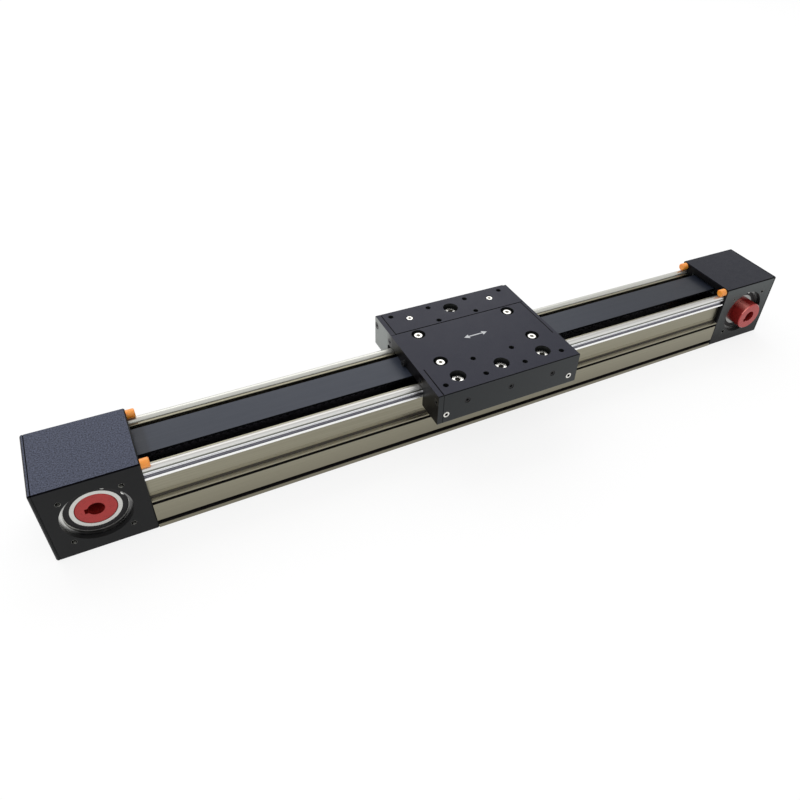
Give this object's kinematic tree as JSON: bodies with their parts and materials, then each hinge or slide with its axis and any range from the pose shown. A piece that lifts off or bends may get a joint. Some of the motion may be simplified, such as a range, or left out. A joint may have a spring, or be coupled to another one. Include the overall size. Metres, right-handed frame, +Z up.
{
  "type": "belt driven linear axis",
  "caption": "Belt driven linear axis: a carriage on rollers runs along steel rods set in an aluminium profile, with a pulley housing and a keyed hollow hub at each end.",
  "frame": {"origin": "middle of the axis, on the plane that its profile and housings stand on", "axes": "+X along the travel towards the drive housing, +Z up through the carriage, the protruding drive hub faces -Y"},
  "size_m": [0.616, 0.1066, 0.0646],
  "materials": {
    "anodised_profile": "satin, champagne anodised",
    "polished_steel": "ground and polished",
    "black_anodised_housing": "satin, fine sparkle",
    "black_anodised_plate": "satin anodised",
    "zinc_plated_steel": "bright zinc",
    "black_steel": "black oxide",
    "bearing_steel": "ground",
    "spring_steel": "oiled",
    "seal_rubber": "matte",
    "orange_rubber": "matte",
    "belt_polyurethane": "satin",
    "pulley_aluminium": "machined",
    "plain_aluminium": "machined",
    "red_anodised": "satin, red anodised",
    "felt": "felt"
  },
  "bodies": {
    "base": {"profile": "anodised_profile", "guide_rod_front": "polished_steel", "guide_rod_rear": "polished_steel", "idler_housing": "black_anodised_housing", "drive_housing": "black_anodised_housing", "idler_end_cover": "black_anodised_housing", "drive_end_cover": "black_anodised_housing", "end_cover_screws": "zinc_plated_steel", "housing_screws": "zinc_plated_steel", "idler_bearing_outer_rings": "bearing_steel", "drive_bearing_outer_rings": "bearing_steel", "bearing_seals": "seal_rubber", "retaining_rings": "spring_steel", "buffers": "orange_rubber", "drive_belt": "belt_polyurethane"},
    "idler": {"idler_pulley": "pulley_aluminium", "idler_pulley_flanges": "zinc_plated_steel", "idler_hub": "red_anodised", "idler_bearing_inner_rings": "bearing_steel"},
    "drive": {"drive_pulley": "pulley_aluminium", "drive_pulley_flanges": "zinc_plated_steel", "drive_hub": "red_anodised", "drive_bearing_inner_rings": "bearing_steel"},
    "carriage": {"carriage_plate": "black_anodised_plate", "rear_guide_bar": "black_anodised_plate", "left_end_plate": "black_anodised_plate", "right_end_plate": "black_anodised_plate", "end_plate_screws": "black_steel", "belt_tension_screws": "black_steel", "left_belt_clamp": "plain_aluminium", "right_belt_clamp": "plain_aluminium", "left_clamp_jaw": "plain_aluminium", "right_clamp_jaw": "plain_aluminium", "belt_clamp_screws": "zinc_plated_steel", "clamp_jaw_screws": "zinc_plated_steel", "front_axle_bolts": "zinc_plated_steel", "eccentric_axles": "zinc_plated_steel", "spacer_washers": "zinc_plated_steel", "roller_inner_races": "bearing_steel", "axle_nuts": "zinc_plated_steel", "rod_wipers": "felt", "skirt_screws": "zinc_plated_steel", "grease_plugs": "black_steel", "rear_bar_screws": "zinc_plated_steel"},
    "roller_front_left": {"roller_front_left": "bearing_steel"},
    "roller_front_middle": {"roller_front_middle": "bearing_steel"},
    "roller_front_right": {"roller_front_right": "bearing_steel"},
    "roller_rear_left": {"roller_rear_left": "bearing_steel"},
    "roller_rear_middle": {"roller_rear_middle": "bearing_steel"},
    "roller_rear_right": {"roller_rear_right": "bearing_steel"}
  },
  "joints": [
    {"name": "carriage_slide", "type": "slide", "parent": "base", "child": "carriage", "axis": [1, 0, 0], "range_m": [-0.1847, 0.1767], "deforming": ["drive_belt"]},
    {"name": "idler_spin", "type": "hinge", "parent": "base", "child": "idler", "pos_m": [-0.2775, 0, 0.03], "axis": [0, 1, 0], "range_deg": [-480, 480]},
    {"name": "drive_spin", "type": "hinge", "parent": "base", "child": "drive", "pos_m": [0.2775, 0, 0.03], "axis": [0, 1, 0], "range_deg": [-480, 480]},
    {"name": "roller_front_left_spin", "type": "hinge", "parent": "carriage", "child": "roller_front_left", "pos_m": [-0.0325, -0.03785, 0.05015], "axis": [0, 0, 1], "range_deg": [-890, 890]},
    {"name": "roller_front_middle_spin", "type": "hinge", "parent": "carriage", "child": "roller_front_middle", "pos_m": [0.004, -0.03785, 0.05015], "axis": [0, 0, 1], "range_deg": [-890, 890]},
    {"name": "roller_front_right_spin", "type": "hinge", "parent": "carriage", "child": "roller_front_right", "pos_m": [0.0405, -0.03785, 0.05015], "axis": [0, 0, 1], "range_deg": [-890, 890]},
    {"name": "roller_rear_left_spin", "type": "hinge", "parent": "carriage", "child": "roller_rear_left", "pos_m": [-0.0325, 0.03785, 0.05015], "axis": [0, 0, 1], "range_deg": [-890, 890]},
    {"name": "roller_rear_middle_spin", "type": "hinge", "parent": "carriage", "child": "roller_rear_middle", "pos_m": [0.004, 0.03785, 0.05015], "axis": [0, 0, 1], "range_deg": [-890, 890]},
    {"name": "roller_rear_right_spin", "type": "hinge", "parent": "carriage", "child": "roller_rear_right", "pos_m": [0.0405, 0.03785, 0.05015], "axis": [0, 0, 1], "range_deg": [-890, 890]}
  ],
  "couplings": [
    {"joint": "idler_spin", "follows": "carriage_slide", "rad_per_m": 44.88},
    {"joint": "drive_spin", "follows": "carriage_slide", "rad_per_m": 44.88},
    {"joint": "roller_front_left_spin", "follows": "carriage_slide", "rad_per_m": 83.482},
    {"joint": "roller_front_middle_spin", "follows": "carriage_slide", "rad_per_m": 83.482},
    {"joint": "roller_front_right_spin", "follows": "carriage_slide", "rad_per_m": 83.482},
    {"joint": "roller_rear_left_spin", "follows": "carriage_slide", "rad_per_m": -83.482},
    {"joint": "roller_rear_middle_spin", "follows": "carriage_slide", "rad_per_m": -83.482},
    {"joint": "roller_rear_right_spin", "follows": "carriage_slide", "rad_per_m": -83.482}
  ]
}
